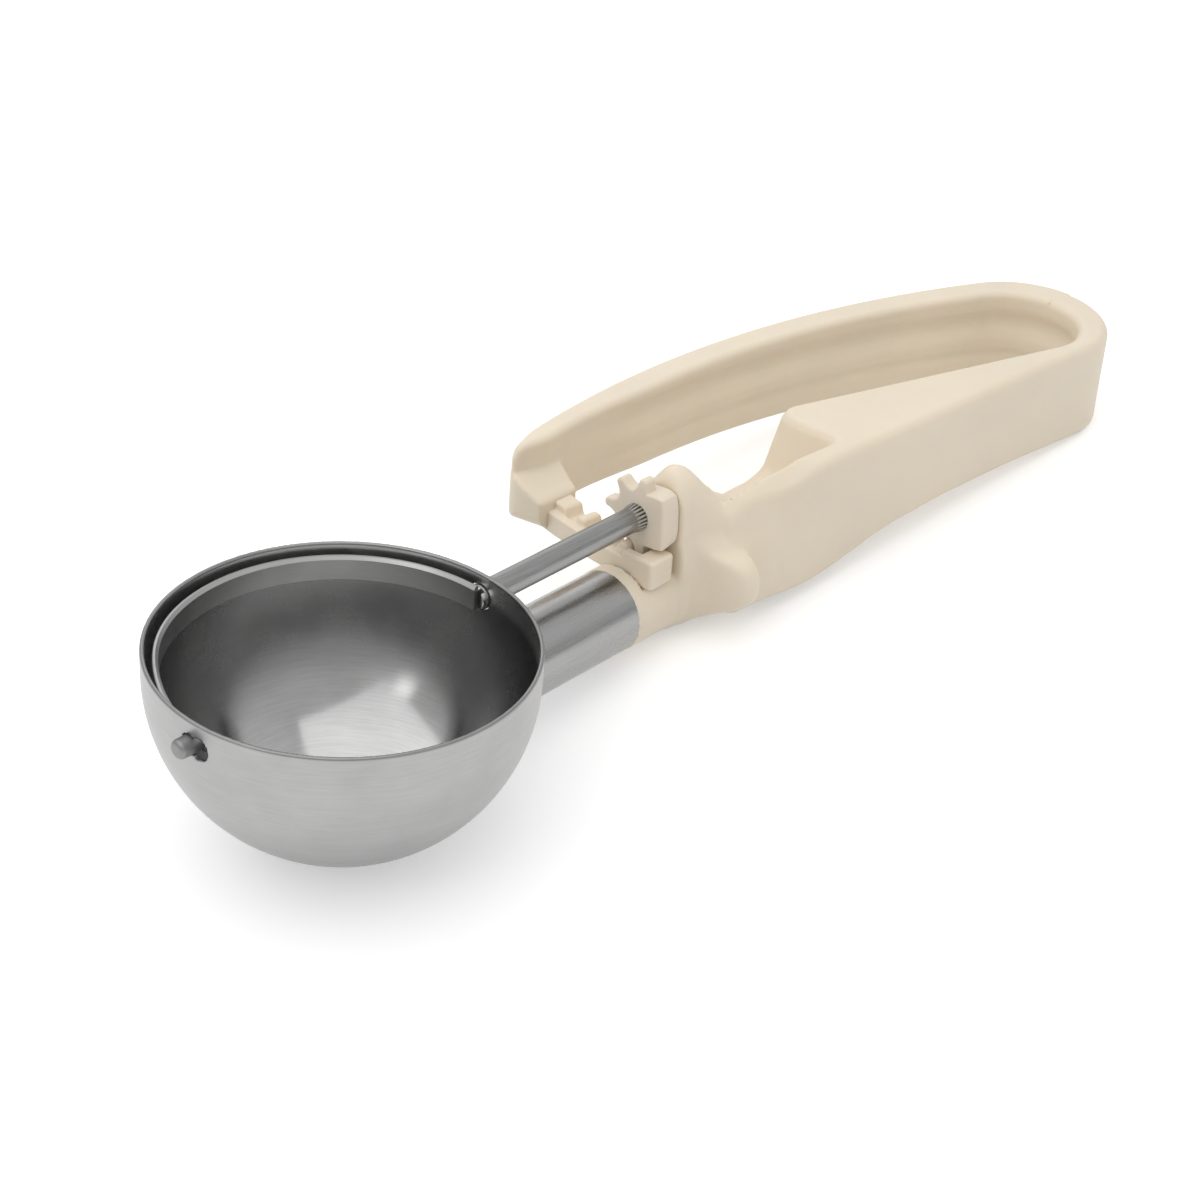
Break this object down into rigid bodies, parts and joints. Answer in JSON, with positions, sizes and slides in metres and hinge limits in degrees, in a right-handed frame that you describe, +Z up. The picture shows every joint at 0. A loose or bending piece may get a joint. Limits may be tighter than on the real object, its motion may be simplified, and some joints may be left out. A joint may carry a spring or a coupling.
{
  "type": "lever ice cream scoop",
  "caption": "Ice cream scoop with a round steel bowl and a one-piece squeeze handle whose rack turns a scraper blade through the bowl.",
  "frame": {"origin": "centre of the bottom of the scoop's bounding box", "axes": "+X from the bowl towards the closed end of the handle, +Y towards the squeeze lever, +Z up out of the open bowl"},
  "size_m": [0.2476, 0.0668, 0.0418],
  "materials": {
    "bowl_steel": "satin brushed outside, polished inside",
    "tube_steel": "satin",
    "blade_steel": "satin",
    "shaft_steel": "satin",
    "ivory_plastic": "matte moulded",
    "pinion_plastic": "matte moulded"
  },
  "bodies": {
    "handle": {"bowl": "bowl_steel", "neck_tube": "tube_steel", "collar_guard": "ivory_plastic", "grip": "ivory_plastic", "closed_end": "ivory_plastic"},
    "lever": {"squeeze_lever": "ivory_plastic", "lever_rack": "ivory_plastic"},
    "scraper": {"scraper_blade": "blade_steel", "blade_pivot_pin": "shaft_steel", "scraper_shaft": "shaft_steel", "pinion": "pinion_plastic"}
  },
  "joints": [
    {"name": "squeeze", "type": "hinge", "parent": "handle", "child": "lever", "pos_m": [0.112, -0.00385, 0.02715], "axis": [0, 0, 1], "range_deg": [0, 6.7], "stiffness_Nm_per_rad": 20},
    {"name": "scraper_spin", "type": "hinge", "parent": "handle", "child": "scraper", "pos_m": [-0.0882, -0.0004, 0.033], "axis": [1, 0, 0], "range_deg": [-134.2, 0]}
  ],
  "couplings": [
    {"joint": "scraper_spin", "follows": "squeeze", "ratio": -20.012}
  ]
}
